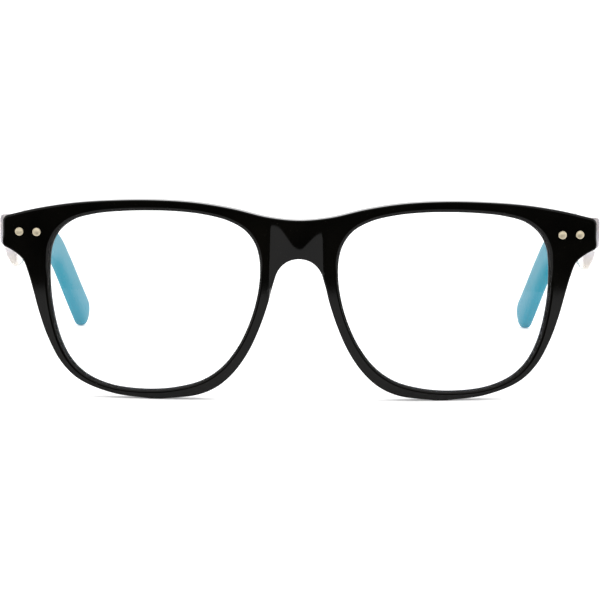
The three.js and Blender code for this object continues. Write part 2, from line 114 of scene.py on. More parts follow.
# Side view of the leaf on a temple, as depth and z.
TEMPLE_LEAF = [
    (14, 36.4), (24, 36.4), (29.5, 36.8), (31, 37.8), (31, 39.6), (29.5, 40.6), (18, 42.4), (14, 42.4),
]
KNUCKLE_COUNT = 5
KNUCKLE_HEIGHT = 1.44
KNUCKLE_GAP = 0.06
KNUCKLE_RADIUS = 1.7
PIN_RADIUS = 0.65
BORE_RADIUS = 0.7
RIVET_HOLE_RADIUS = 0.65
RIVET_HEAD_HEIGHT = 0.35
FRONT_RIVET_X = (63, 67.25)
TEMPLE_RIVET_DEPTH = (20.5, 27)
CORE_HALF_HEIGHT = 1.1
CORE_HALF_THICKNESS = 0.5
SPLICE_GAP = 0.05

# ---- Detail that only the looks need ----

SCOOP_SIDES = (-6.6, 5.3)  # x of the two ends of the hand-filed scoop across the bridge
SCOOP_WALL = 0.6  # width of the step at each end
SCOOP_LEAN = 0.07  # slope of the scoop towards the nose
SCOOP_CURL = 0.02  # how fast it turns to that slope, per millimetre
SCOOP_EASE = 1.3  # how far above its outline the turn begins
SCOOP_OUTLINE = [
    (-9, 43.4), (-7, 43.2), (-5, 42.7), (-3, 40), (-1.2, 37.3), (0.4, 36.6), (2, 38.2), (3.4, 39.8),
    (4.6, 40.8), (6, 41), (8, 41),
]

CONTOUR_STEP = 0.4
FACE_GRID = 1.3  # spacing of the points inside a face
FINE_GRID = 0.4  # and about the scoop
GRID_MARGIN = 0.35  # least distance from those points to a contour
BRIDGE = ((-9.0, 24.0), (8.0, 45.0))
EDGE_ROUND = 0.38  # of the front's outer edges
END_EXTRA_ROUND = 0.4  # more towards the top of the end pieces
END_ROUND_X = (40, 66)  # where that grows from nothing to its whole
END_ROUND_Z = (36.5, 39)
OPENING_ROUND = 0.8  # of the edges of the lens openings
ROUND_STEPS = 6
GROOVE_FRONT = 0.95  # the lens groove: its two walls, behind the face
GROOVE_BACK = 3.1
GROOVE_BOTTOM = 0.6  # and how deep it is cut into the wall of the opening
GROOVE_TAPER = 0.1
# Section of a lens at its rim, as growth past the opening and depth.
LENS_PROFILE = [(-0.05, 1.15), (0.1, 1.3), (0.42, 1.9), (0.42, 2.1), (0.1, 2.75), (-0.05, 2.9)]
PAD_SPINE = [(7.4, 29.2), (8.5, 25.5), (9.7, 21), (10.9, 16.3)]
PAD_LIFT = 0.4  # from the back of the rim
HINGE_SQUARENESS = 6.5
SQUARENESS_LOSS = 3.7
SQUARENESS_SPAN = (14, 30)  # the depths between which it falls
METAL_ROUND = 0.12
CORNER_ROUND_STEPS = 8


# ---- Curves ----

def catmull_point(p0, p1, p2, p3, t):
    """A point of the centripetal Catmull-Rom curve between p1 and p2."""
    gaps = [max(np.linalg.norm(b - a) ** 0.5, 1e-4) for a, b in ((p0, p1), (p1, p2), (p2, p3))]
    start = ((p1 - p0) / gaps[0] - (p2 - p0) / (gaps[0] + gaps[1]) + (p2 - p1) / gaps[1]) * gaps[1]
    end = ((p2 - p1) / gaps[1] - (p3 - p1) / (gaps[1] + gaps[2]) + (p3 - p2) / gaps[2]) * gaps[1]
    a = 2 * p1 - 2 * p2 + start + end
    b = -3 * p1 + 3 * p2 - 2 * start - end
    return ((a * t + b) * t + start) * t + p1


def spaced(path, step, closed=False):
    """Points at equal distances along a polyline."""
    path = np.asarray(path, float)
    if closed:
        path = np.vstack([path, path[:1]])
    along = np.concatenate([[0], np.cumsum(np.linalg.norm(np.diff(path, axis=0), axis=1))])
    count = max(2, int(round(along[-1] / step)))
    at = np.linspace(0, along[-1], count + 1)
    even = np.stack([np.interp(at, along, path[:, k]) for k in range(path.shape[1])], axis=1)
    return even[:-1] if closed else even


def smooth(points, step, closed=False):
    """Points at equal distances along one smooth curve through the given ones."""
    points = np.asarray(points, float)
    count = len(points)
    if closed:
        around = np.vstack([points[-1], points, points[:2]])
        spans = count
    else:
        around = np.vstack([2 * points[0] - points[1], points, 2 * points[-1] - points[-2]])
        spans = count - 1
    fine = np.linspace(0, 1, 24, endpoint=False)
    path = [catmull_point(*around[i:i + 4], t) for i in range(spans) for t in fine]
    path.append(around[spans + 1])
    return spaced(path[:-1] if closed else path, step, closed)


def rounded_corner(before, corner, after):
    """A quadratic curve that takes a corner off between two points."""
    t = np.linspace(0, 1, CORNER_ROUND_STEPS + 1)[:, None]
    before, corner, after = (np.asarray(p, float) for p in (before, corner, after))
    return (1 - t) ** 2 * before + 2 * t * (1 - t) * corner + t ** 2 * after


def flat_x(points):
    """Takes x on the wrapped front to x along the flat one."""
    points = np.array(points, float)
    points[:, 0] = BASE_CURVE_RADIUS * np.arcsin(points[:, 0] / BASE_CURVE_RADIUS)
    return points


def mirrored(points):
    return (np.asarray(points) * (-1, 1))[::-1]


def outward(contour):
    """Unit normals of a closed contour, away from what it encloses."""
    along = np.roll(contour, -1, axis=0) - np.roll(contour, 1, axis=0)
    normals = np.stack([along[:, 1], -along[:, 0]], axis=1)
    normals /= np.linalg.norm(normals, axis=1)[:, None]
    area = np.sum(contour[:, 0] * np.roll(contour[:, 1], -1) - np.roll(contour[:, 0], -1) * contour[:, 1])
    return normals if area > 0 else -normals


def outer_contour():
    """The front's outer edge, flat."""
    top, bottom = END_CORNERS
    end = np.vstack([
        flat_x(rounded_corner(BROW[-1], top, (top[0], top[1] - 1.2)))[1:],
        flat_x(rounded_corner((bottom[0], bottom[1] + 0.9), bottom, LOWER_SIDE[0])),
        smooth(flat_x(LOWER_SIDE), CONTOUR_STEP)[1:],
    ])
    brow = smooth(flat_x([*mirrored(BROW)[:-1], *BROW]), CONTOUR_STEP)
    arch = smooth([*NASAL_SIDE, *mirrored(NASAL_SIDE)[1:]], CONTOUR_STEP)
    return spaced(np.vstack([brow, end, arch, mirrored(end)]), CONTOUR_STEP, closed=True)


def lens_contour(side, growth=0.0):
    contour = smooth(flat_x(LENS_OPENING), CONTOUR_STEP, closed=True)
    contour = contour + growth * outward(contour)
    return contour if side > 0 else mirrored(contour)


def smoothstep(value, low, high):
    t = np.clip((np.asarray(value, float) - low) / (high - low), 0, 1)
    return t * t * (3 - 2 * t)


# ---- From drawn points to the row frame ----

def wrap(points):
    """Wraps flat points (x, depth, z) about the front's base curve."""
    points = np.asarray(points, float)
    angle = points[:, 0] / BASE_CURVE_RADIUS
    radius = BASE_CURVE_RADIUS - points[:, 1]
    return np.stack([
        radius * np.sin(angle), BASE_CURVE_RADIUS - radius * np.cos(angle), points[:, 2],
    ], axis=1)


def place(points):
    """Drawn points to metres in the row frame."""
    return (np.asarray(points, float) + (0, FACE_Y, 0)) * MM


def make_object(name, points, faces, smooth_shading=True):
    mesh = bpy.data.meshes.new(name)
    mesh.from_pydata([tuple(p) for p in place(points)], [], [tuple(int(i) for i in f) for f in faces])
    work = bmesh.new()
    work.from_mesh(mesh)
    bmesh.ops.recalc_face_normals(work, faces=work.faces)
    work.to_mesh(mesh)
    work.free()
    for polygon in mesh.polygons:
        polygon.use_smooth = smooth_shading
    piece = bpy.data.objects.new(name, mesh)
    bpy.context.scene.collection.objects.link(piece)
    return piece


def ring_faces(first, second, size):
    """Quads between two rings whose vertices start at first and second."""
    return [(first + i, first + (i + 1) % size, second + (i + 1) % size, second + i) for i in range(size)]


def tube_faces(count, size):
    """The wall and the two ends of a tube of rings that follow each other."""
    faces = []
    for at in range(count - 1):
        faces += ring_faces(at * size, (at + 1) * size, size)
    faces.append(tuple(range(size)))
    faces.append(tuple(range((count - 1) * size, count * size)))
    return faces


# ---- The front ----

SCOOP_TOP = smooth(SCOOP_OUTLINE, 0.2)


def bridge_scoop(x, z):
    """Depth of the hand-filed scoop across the bridge: it leans the face down towards the nose."""
    top = np.interp(x, SCOOP_TOP[:, 0], SCOOP_TOP[:, 1]) + SCOOP_EASE
    below = np.maximum(0, top - z)
    curved = np.minimum(below, SCOOP_LEAN / SCOOP_CURL)
    depth = 0.5 * SCOOP_CURL * curved ** 2 + SCOOP_LEAN * (below - curved)
    right, left = SCOOP_SIDES
    across = smoothstep(x, right - SCOOP_WALL, right) * (1 - smoothstep(x, left, left + SCOOP_WALL))
    return depth * across


def back_depth(x, z):
    """Depth of the back face: the end pieces thicken to a flat seat for the hinge."""
    angle = np.abs(x) / BASE_CURVE_RADIUS
    seat = BASE_CURVE_RADIUS - (BASE_CURVE_RADIUS - SEAT_DEPTH) / np.cos(angle)
    block = smoothstep(np.abs(x), *SEAT_EDGE_X) * smoothstep(z, *SEAT_EDGE_Z)
    return FRONT_THICKNESS + block * (seat - FRONT_THICKNESS)


def edge_round(contour):
    """Radius of the outer edge, which is buffed rounder towards the top of the end pieces."""
    x, z = contour[:, 0], contour[:, 1]
    share = smoothstep(np.abs(x), *END_ROUND_X) * smoothstep(z, *END_ROUND_Z)
    return EDGE_ROUND + END_EXTRA_ROUND * share


def edge_profile(rounding, groove):
    """Rings round an edge, from the front face to the back one.

    Each is (inset from the contour, whether it belongs to the back face, depth from that face, tilt of the
    surface away from that face).
    """
    angles = np.linspace(0, math.pi / 2, ROUND_STEPS + 1)
    rings = [(rounding * (1 - math.sin(a)), False, rounding * (1 - math.cos(a)), a) for a in angles]
    if groove:
        wall = math.pi / 2
        rings += [
            (0, False, GROOVE_FRONT, wall), (GROOVE_BOTTOM, False, GROOVE_FRONT + GROOVE_TAPER, wall),
            (GROOVE_BOTTOM, False, GROOVE_BACK - GROOVE_TAPER, wall), (0, False, GROOVE_BACK, wall),
        ]
    rings += [(rounding * (1 - math.sin(a)), True, -rounding * (1 - math.cos(a)), a) for a in angles[::-1]]
    return rings


def facing(depth_of, x, z, towards):
    """Unit normals of a face whose depth is given, pointing to the front (-1) or to the back (1)."""
    near = 0.05
    slope_x = (depth_of(x + near, z) - depth_of(x - near, z)) / (2 * near)
    slope_z = (depth_of(x, z + near) - depth_of(x, z - near)) / (2 * near)
    normals = towards * np.stack([-slope_x, np.ones_like(slope_x), -slope_z], axis=1)
    return normals / np.linalg.norm(normals, axis=1)[:, None]


def wrap_normals(normals, points):
    """Turns the normals of flat points with the base curve."""
    angle = points[:, 0] / BASE_CURVE_RADIUS
    x = normals[:, 0] * np.cos(angle) - normals[:, 1] * np.sin(angle)
    y = normals[:, 0] * np.sin(angle) + normals[:, 1] * np.cos(angle)
    return np.stack([x, y, normals[:, 2]], axis=1)


def inside(points, contour):
    """Which points lie inside a closed contour."""
    x, z = points[:, 0:1], points[:, 1:2]
    a, b = contour, np.roll(contour, -1, axis=0)
    crosses = (a[:, 1] > z) != (b[:, 1] > z)
    rise = np.where(b[:, 1] == a[:, 1], 1e-12, b[:, 1] - a[:, 1])
    at = a[:, 0] + (z - a[:, 1]) * (b[:, 0] - a[:, 0]) / rise
    return (np.sum(crosses & (x < at), axis=1) % 2) == 1


def even_grid(low, high, step):
    xs = np.arange(low[0], high[0], step)
    zs = np.arange(low[1], high[1], step)
    return np.array([(x + (row % 2) * step / 2, z) for row, z in enumerate(zs) for x in xs])


def fill_face(contours, finer=None):
    """Triangles between the first contour and the others, with even points inside.

    Returns the extra points, and triangles that count the contours' points first.
    """
    outer, holes = contours[0], contours[1:]
    low, high = outer.min(axis=0), outer.max(axis=0)
    grid = even_grid(low, high, FACE_GRID)
    if finer is not None:
        (left, bottom), (right, top) = finer
        is_near = (grid[:, 0] > left) & (grid[:, 0] < right) & (grid[:, 1] > bottom) & (grid[:, 1] < top)
        walls = [(x, z) for side in SCOOP_SIDES for x in (side - SCOOP_WALL, side, side + SCOOP_WALL)
                 for z in np.arange(bottom, top, FINE_GRID)]
        fine = even_grid((left, bottom), (right, top), FINE_GRID)
        clear = np.min(np.abs(fine[:, :1] - np.array(SCOOP_SIDES)), axis=1) > SCOOP_WALL + FINE_GRID / 2
        grid = np.vstack([grid[~is_near], fine[clear], walls])
    keep = inside(grid, outer - GRID_MARGIN * outward(outer))
    for hole in holes:
        keep &= ~inside(grid, hole + GRID_MARGIN * outward(hole))
    grid = grid[keep]
    points = np.vstack([*contours, grid])
    edges = []
    start = 0
    for contour in contours:
        size = len(contour)
        edges += [(start + i, start + (i + 1) % size) for i in range(size)]
        start += size
    found = geometry.delaunay_2d_cdt([Vector(p) for p in points], edges, [], 0, 1e-5)
    source = [origins[0] for origins in found[3]]
    triangles = np.array([[source[i] for i in face] for face in found[2]])
    centres = points[triangles].mean(axis=1)
    keep = inside(centres, outer)
    for hole in holes:
        keep &= ~inside(centres, hole)
    return grid, triangles[keep]


def make_front(black, cut):
    """The front in one piece: rings round its three edges, then its two faces between them."""
    contours = [outer_contour(), lens_contour(1), lens_contour(-1)]
    profiles = [edge_profile(edge_round(contours[0]), False)] + [edge_profile(OPENING_ROUND, True)] * 2
    faces_of = {False: (bridge_scoop, -1), True: (back_depth, 1)}
    points, normals, faces, cut_faces = [], [], [], []
    edge_rings = {False: [], True: []}
    edge_starts = {False: [], True: []}
    for number, (contour, profile) in enumerate(zip(contours, profiles)):
        away = outward(contour) if number == 0 else -outward(contour)
        sideways = np.stack([away[:, 0], np.zeros(len(away)), away[:, 1]], axis=1)
        for ring_number, (inset, is_back, offset, tilt) in enumerate(profile):
            ring = contour - np.reshape(inset, (-1, 1)) * away
            depth_of, towards = faces_of[is_back]
            face_normals = facing(depth_of, ring[:, 0], ring[:, 1], towards)
            first = len(points)
            depth = depth_of(ring[:, 0], ring[:, 1]) + offset
            points += list(np.stack([ring[:, 0], depth, ring[:, 1]], axis=1))
            normals += list(math.cos(tilt) * face_normals + math.sin(tilt) * sideways)
            if ring_number:
                faces += ring_faces(first - len(ring), first, len(ring))
            if number and tilt == math.pi / 2:
                cut_faces += range(len(faces) - len(ring), len(faces))
            if ring_number in (0, len(profile) - 1):
                edge_rings[is_back].append(ring)
                edge_starts[is_back].append(first)
    for is_back, (depth_of, towards) in faces_of.items():
        grid, triangles = fill_face(edge_rings[is_back], None if is_back else BRIDGE)
        names = np.concatenate([
            *[np.arange(start, start + len(ring))
              for start, ring in zip(edge_starts[is_back], edge_rings[is_back])],
            np.arange(len(points), len(points) + len(grid)),
        ])
        points += list(np.stack([grid[:, 0], depth_of(grid[:, 0], grid[:, 1]), grid[:, 1]], axis=1))
        normals += list(facing(depth_of, grid[:, 0], grid[:, 1], towards))
        faces += list(names[triangles])
    points = np.array(points)
    shell = make_object("front_shell", wrap(points), faces)
    shell.data.materials.append(black)
    shell.data.materials.append(cut)
    for face in cut_faces:
        shell.data.polygons[face].material_index = 1
    shell.data.normals_split_custom_set_from_vertices(wrap_normals(np.array(normals), points))
    return shell


# ---- Lenses and nose pads ----

def make_lens(name, side, resin, ground_and_shade):
    """A lens blank: the first faces are its bevel from the grinding wheel, whose dark colour is painted shade
    of the groove, and its two polished faces come after.
    """
    points = []
    faces = []
    for number, (growth, depth) in enumerate(LENS_PROFILE):
        contour = lens_contour(side, growth)
        size = len(contour)
        points += [(x, depth, z) for x, z in contour]
        if number:
            faces += ring_faces((number - 1) * size, number * size, size)
    bevel_faces = len(faces)
    for number in (0, len(LENS_PROFILE) - 1):
        growth, depth = LENS_PROFILE[number]
        grid, triangles = fill_face([lens_contour(side, growth)])
        names = np.concatenate([
            np.arange(number * size, (number + 1) * size), np.arange(len(points), len(points) + len(grid)),
        ])
        points += [(x, depth, z) for x, z in grid]
        faces += list(names[triangles])
    lens = make_object(name, wrap(points), faces)
    lens.data.set_sharp_from_angle(angle=math.radians(25))
    lens.data.materials.append(resin)
    lens.data.materials.append(ground_and_shade)
    for polygon in lens.data.polygons[:bevel_faces]:
        polygon.material_index = 1
    return lens


def make_nose_pad(name, side):
    """A moulded cushion along the nose side of the rim: a long oval that leans out towards the back."""
    spine = smooth(PAD_SPINE, 0.4)
    across = 16
    end_half_width, extra_half_width = 0.15, 0.85
    end_height, extra_height = 0.25, 2.0
    points = []
    for at, (x, z) in enumerate(spine):
        share = at / (len(spine) - 1)
        swell = math.sqrt(max(0.0, 1 - (2 * share - 1) ** 4))
        half = end_half_width + extra_half_width * swell
        height = end_height + extra_height * swell
        for k in range(across):
            angle = 2 * math.pi * k / across
            depth = FRONT_THICKNESS + PAD_LIFT + height * (0.5 - 0.5 * math.cos(angle))
            points.append((side * (x + half * math.sin(angle)), depth, z))
    return make_object(name, points, tube_faces(len(spine), across))


# ---- Temples ----

CENTRE_PATH = smooth(TEMPLE_CENTRE, 0.25)
CENTRE_TURN = np.unwrap(np.arctan2(np.gradient(CENTRE_PATH[:, 1]), np.gradient(CENTRE_PATH[:, 0])))


def centre_at(depth):
    z = np.interp(depth, CENTRE_PATH[:, 0], CENTRE_PATH[:, 1])
    return z, np.interp(depth, CENTRE_PATH[:, 0], CENTRE_TURN)


def temple_x(depth):
    past = np.maximum(0, depth - TEMPLE_STRAIGHT_END)
    return TEMPLE_X - TEMPLE_INWARD_BEND * past ** 2


def temple_ring(depth, z, turn, up, down, half_width, squareness, count=40):
    """One cross-section of a temple: a rounded rectangle that gets more oval as squareness falls to 2."""
    angles = np.linspace(0, 2 * math.pi, count, endpoint=False) + math.pi / count
    cosine, sine = np.cos(angles), np.sin(angles)
    power = 2 / squareness
    x = half_width * np.sign(cosine) * np.abs(cosine) ** power
    n = np.sign(sine) * np.abs(sine) ** power
    n = np.where(n > 0, n * up, n * down)
    depths = depth - n * math.sin(turn)
    return np.stack([temple_x(depths) + x, depths, z + n * math.cos(turn)], axis=1)


def temple_edges(depth):
    up = np.interp(depth, TEMPLE_EDGES[:, 0], TEMPLE_EDGES[:, 1])
    # the swell behind the hinge is eased, so that its lower edge is one smooth line
    near = np.linspace(-3, 3, 13)
    down = np.mean(np.interp(depth + near, TEMPLE_EDGES[:, 0], TEMPLE_EDGES[:, 2]))
    return float(up), float(down)


def squareness_at(depth):
    """How square a temple's section is: nearly a rectangle at the hinge, an oval further back."""
    return float(HINGE_SQUARENESS - SQUARENESS_LOSS * smoothstep(depth, *SQUARENESS_SPAN))


def tube(name, rings, side):
    """Joins cross-sections into one closed piece."""
    points = np.vstack(rings) * (side, 1, 1)
    return make_object(name, points, tube_faces(len(rings), len(rings[0])))


def acetate_rings(start, end, step=1.0):
    """Cross-sections of a temple, upright at its start and at the splice and square to its line elsewhere."""
    rings = []
    for depth in spaced([(start,), (end,)], step)[:, 0]:
        z, turn = centre_at(depth)
        is_cut = abs(depth - start) < 1e-6 or abs(depth - SPLICE) < 0.1
        up, down = temple_edges(depth)
        turn = 0.0 if is_cut else float(turn) * float(smoothstep(depth, start - 4, start + 6))
        rings.append(temple_ring(depth, z, turn, up, down, TEMPLE_THICKNESS / 2, squareness_at(depth)))
    return rings


def make_temple(name, side):
    """A clear temple, with the edges of its front end taken off."""
    rings = acetate_rings(TEMPLE_START + 0.25, SPLICE)
    middle = rings[0].mean(axis=0)
    face = middle + (rings[0] - middle) * (0.86, 1, 0.94)
    face[:, 1] = TEMPLE_START
    return tube(name, [face, *rings], side)


def make_temple_tip(name, side):
    """A tip runs on from the splice and ends in a round end about TIP_CENTRE."""
    rings = acetate_rings(SPLICE + SPLICE_GAP, TIP_CENTRE)
    z, turn = centre_at(TIP_CENTRE)
    radius, _ = temple_edges(TIP_CENTRE)
    for angle in np.radians(np.linspace(6, 87, 16)):
        ahead = radius * math.sin(angle)
        half = radius * math.cos(angle)
        width = TEMPLE_THICKNESS / 2 * math.sqrt(max(0.04, math.cos(angle)))
        rings.append(temple_ring(
            TIP_CENTRE + ahead * math.cos(turn), z + ahead * math.sin(turn), turn, half, half, width,
            squareness_at(TIP_CENTRE),
        ))
    return tube(name, rings, side)


def make_core_wire(name, side):
    """A flat core that narrows at both ends."""
    rings = []
    for depth in spaced([(CORE_START,), (CORE_END,)], 1.0)[:, 0]:
        z, turn = centre_at(depth)
        ends = min(depth - CORE_START, CORE_END - depth)
        half = CORE_HALF_HEIGHT * math.sqrt(min(1.0, 0.25 + 0.4 * ends))
        rings.append(temple_ring(depth, z, float(turn), half, half, CORE_HALF_THICKNESS, 3.2, count=20))
    return tube(name, rings, side)


# ---- Hinges, screws and rivets ----

def turned(profile, sides=48):
    """Points and faces of a turned piece about z: profile of radius and height from axis to axis."""
    angles = np.linspace(0, 2 * math.pi, sides, endpoint=False)
    points = [(0.0, 0.0, profile[0][1])]
    for radius, height in profile[1:-1]:
        points += [(radius * math.cos(a), radius * math.sin(a), height) for a in angles]
    points.append((0.0, 0.0, profile[-1][1]))
    faces = [(0, 1 + (i + 1) % sides, 1 + i) for i in range(sides)]
    for ring in range(len(profile) - 3):
        faces += ring_faces(1 + ring * sides, 1 + (ring + 1) * sides, sides)
    last = len(points) - 1
    start = last - sides
    faces += [(last, start + i, start + (i + 1) % sides) for i in range(sides)]
    return np.array(points), faces


def block_points(low, high):
    corners = [(x, y, z) for x in (low[0], high[0]) for y in (low[1], high[1]) for z in (low[2], high[2])]
    faces = [(0, 1, 3, 2), (4, 6, 7, 5), (0, 4, 5, 1), (2, 3, 7, 6), (0, 2, 6, 4), (1, 5, 7, 3)]
    return np.array(corners), faces


def combine(base, others, operation):
    """Joins or cuts base with other objects, and removes those."""
    for other in others:
        step = base.modifiers.new("step", "BOOLEAN")
        step.operation = operation
        step.solver = "EXACT"
        step.object = other
        graph = bpy.context.evaluated_depsgraph_get()
        result = bpy.data.meshes.new_from_object(base.evaluated_get(graph))
        base.modifiers.clear()
        base.data = result
        bpy.data.objects.remove(other)
    return base


def soften(piece, width, segments=3, angle=30):
    """Rounds the edges of a metal piece and keeps its flats flat."""
    bevel = piece.modifiers.new("rounding", "BEVEL")
    bevel.width = width * MM
    bevel.segments = segments
    bevel.limit_method = "ANGLE"
    bevel.angle_limit = math.radians(angle)
    bevel.harden_normals = False
    graph = bpy.context.evaluated_depsgraph_get()
    result = bpy.data.meshes.new_from_object(piece.evaluated_get(graph))
    piece.modifiers.clear()
    piece.data = result
    piece.data.shade_smooth()
    piece.data.set_sharp_from_angle(angle=math.radians(angle))
    return piece


def plate_points(outline, low_x, high_x):
    """Points and faces of an upright plate across x, from its side view as depth and z."""
    size = len(outline)
    points = [(x, depth, z) for x in (low_x, high_x) for depth, z in outline]
    faces = [tuple(range(size)), tuple(range(size, 2 * size)), *ring_faces(0, size, size)]
    return np.array(points), faces


def knuckle_span(index):
    pitch = KNUCKLE_HEIGHT + KNUCKLE_GAP
    bottom = HINGE_Z - (KNUCKLE_COUNT * pitch - KNUCKLE_GAP) / 2 + index * pitch
    return bottom, bottom + KNUCKLE_HEIGHT


def knuckle(index):
    low, high = knuckle_span(index)
    chamfer = 0.1
    points, faces = turned([
        (0, low), (KNUCKLE_RADIUS - chamfer, low), (KNUCKLE_RADIUS, low + chamfer),
        (KNUCKLE_RADIUS, high - chamfer), (KNUCKLE_RADIUS - chamfer, high), (0, high),
    ])
    return make_object("knuckle", points + (HINGE_X, HINGE_DEPTH, 0), faces)


def bar(name, radius, start, end, axis):
    """A plain round bar along x, y or z."""
    points, faces = turned([(0, start), (radius, start), (radius, end), (0, end)])
    if axis == "y":
        points = points[:, (0, 2, 1)]
    if axis == "x":
        points = points[:, (2, 1, 0)]
    return make_object(name, points, faces)


def shifted(piece, offset):
    piece.data.transform(Matrix.Translation(Vector(offset) * MM))
    return piece


def mirror_piece(piece, side):
    """Turns a piece of the left side into its twin where side is -1."""
    if side < 0:
        work = bmesh.new()
        work.from_mesh(piece.data)
        for vertex in work.verts:
            vertex.co.x = -vertex.co.x
        bmesh.ops.reverse_faces(work, faces=work.faces)
        work.to_mesh(piece.data)
        work.free()
    return piece


def drawn(corners):
    """The two corners of a box of the frame as drawn points."""
    return [np.array(corner) / MM - (0, FACE_Y, 0) for corner in corners]


def finish_leaf(plate, knuckles, web_of, holes, side):
    """Adds knuckles, each on its web, to a leaf's plate, and cuts the bore and the rivet holes."""
    parts = []
    for index in knuckles:
        parts.append(make_object("web", *block_points(*web_of(*knuckle_span(index)))))
        parts.append(knuckle(index))
    combine(plate, parts, "UNION")
    bore = shifted(bar("bore", BORE_RADIUS, 30, 50, "z"), (HINGE_X, HINGE_DEPTH, 0))
    combine(plate, [bore, *holes], "DIFFERENCE")
    return mirror_piece(soften(plate, METAL_ROUND), side)


def make_front_leaf(name, side):
    low, high = drawn(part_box("left_front_hinge_leaf"))
    plate_back = low[1] + LEAF_THICKNESS
    plate = make_object(name, *block_points(low, (high[0], plate_back, high[2])))

    def web_of(bottom, top):
        low_corner = (HINGE_X - KNUCKLE_WEB, plate_back - WELD_DEPTH, bottom)
        return low_corner, (HINGE_X + KNUCKLE_WEB, HINGE_DEPTH, top)

    holes = [shifted(bar("hole", RIVET_HOLE_RADIUS, 5, 18, "y"), (x, 0, HINGE_Z)) for x in FRONT_RIVET_X]
    return finish_leaf(plate, (0, 2, 4), web_of, holes, side)


def make_temple_leaf(name, side):
    high = drawn(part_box("left_temple_hinge_leaf"))[1]
    inner = high[0] - LEAF_THICKNESS
    plate = make_object(name, *plate_points(TEMPLE_LEAF, inner, high[0]))

    def web_of(bottom, top):
        low_corner = (HINGE_X, HINGE_DEPTH - KNUCKLE_WEB, bottom)
        return low_corner, (inner + WELD_DEPTH, HINGE_DEPTH + KNUCKLE_WEB, top)

    holes = [
        shifted(bar("hole", RIVET_HOLE_RADIUS, 60, 75, "x"), (0, depth, HINGE_Z))
        for depth in TEMPLE_RIVET_DEPTH
    ]
    return finish_leaf(plate, (1, 3), web_of, holes, side)


def make_screw(name, side):
    """A cheese-headed screw that is the hinge's pin; the slot in its head stands at an angle."""
    bottom = knuckle_span(0)[0]
    top = knuckle_span(KNUCKLE_COUNT - 1)[1] + 0.05
    head = top + 0.7
    points, faces = turned([
        (0, bottom), (PIN_RADIUS - 0.15, bottom), (PIN_RADIUS, bottom + 0.2), (PIN_RADIUS, top),
        (1.2, top), (1.3, top + 0.1), (1.3, head - 0.25), (1.22, head - 0.08), (1.0, head), (0, head),
    ])
    screw = make_object(name, points + (HINGE_X, HINGE_DEPTH, 0), faces)
    slot = make_object("slot", *block_points((-2, -0.2, head - 0.3), (2, 0.2, head + 1)))
    slot.data.transform(Matrix.Rotation(math.radians(35 * side), 4, "Z"))
    shifted(slot, (HINGE_X, HINGE_DEPTH + FACE_Y, 0))
    combine(screw, [slot], "DIFFERENCE")
    screw.data.shade_smooth()
    screw.data.set_sharp_from_angle(angle=math.radians(40))
    return mirror_piece(screw, side)


def rivet_profile(shank):
    """A dished head with a fine turned ring, above a plain shank."""
    return [
        (0, -shank), (0.5, -shank), (0.6, -shank + 0.1), (0.6, 0), (1, 0), (1, 0.16), (0.97, 0.25),
        (0.9, 0.32), (0.82, RIVET_HEAD_HEIGHT), (0.74, 0.335), (0.68, 0.29), (0.63, 0.25), (0.56, 0.235),
        (0.5, 0.25), (0.44, 0.235), (0.3, 0.215), (0.15, 0.205), (0, 0.2),
    ]


def make_front_rivet(name, side, place_name):
    low, high = drawn(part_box(f"left_front_rivet_{place_name}"))
    centre = (low[0] + high[0]) / 2
    head = low[1] + RIVET_HEAD_HEIGHT
    points, faces = turned(rivet_profile(high[1] - head))
    points = np.stack([points[:, 0] + centre, head - points[:, 2], points[:, 1] + HINGE_Z], axis=1)
    return mirror_piece(make_object(name, points, faces), side)


def make_temple_rivet(name, side, place_name):
    low, high = drawn(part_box(f"left_temple_rivet_{place_name}"))
    centre = (low[1] + high[1]) / 2
    head = high[0] - RIVET_HEAD_HEIGHT
    points, faces = turned(rivet_profile(head - low[0]))
    points = np.stack([head + points[:, 2], points[:, 0] + centre, points[:, 1] + HINGE_Z], axis=1)
    return mirror_piece(make_object(name, points, faces), side)


# ---- Materials ----

def new_material(name):
    material = bpy.data.materials.new(name)
    material.use_nodes = True
    tree = material.node_tree
    return material, tree, tree.nodes["Principled BSDF"]


def noise(tree, scale, detail=3.0, roughness=0.5, stretch=(1, 1, 1)):
    """Noise over the object's own coordinates; scale is in waves per metre."""
    where = tree.nodes.new("ShaderNodeTexCoord")
    mapping = tree.nodes.new("ShaderNodeMapping")
    mapping.inputs["Scale"].default_value = stretch
    texture = tree.nodes.new("ShaderNodeTexNoise")
    texture.inputs["Scale"].default_value = scale
    texture.inputs["Detail"].default_value = detail
    texture.inputs["Roughness"].default_value = roughness
    tree.links.new(where.outputs["Object"], mapping.inputs["Vector"])
    tree.links.new(mapping.outputs["Vector"], texture.inputs["Vector"])
    return texture.outputs["Fac"]


def ramp(tree, value, stops):
    node = tree.nodes.new("ShaderNodeValToRGB")
    elements = node.color_ramp.elements
    while len(elements) < len(stops):
        elements.new(0.5)
    for element, (position, color) in zip(elements, stops):
        element.position = position
        element.color = (*color, 1)
    tree.links.new(value, node.inputs["Fac"])
    return node.outputs["Color"]


def spread(tree, value, low, high):
    """Maps a 0 to 1 value to low to high."""
    node = tree.nodes.new("ShaderNodeMapRange")
    node.inputs["To Min"].default_value = low
    node.inputs["To Max"].default_value = high
    tree.links.new(value, node.inputs["Value"])
    return node.outputs["Result"]


def height_share(tree, low, high):
    """0 below one height above the table and 1 above another, in millimetres."""
    where = tree.nodes.new("ShaderNodeTexCoord")
    parts = tree.nodes.new("ShaderNodeSeparateXYZ")
    share = tree.nodes.new("ShaderNodeMapRange")
    share.inputs["From Min"].default_value = low * MM
    share.inputs["From Max"].default_value = high * MM
    tree.links.new(where.outputs["Object"], parts.inputs["Vector"])
    tree.links.new(parts.outputs["Z"], share.inputs["Value"])
    return share.outputs["Result"]


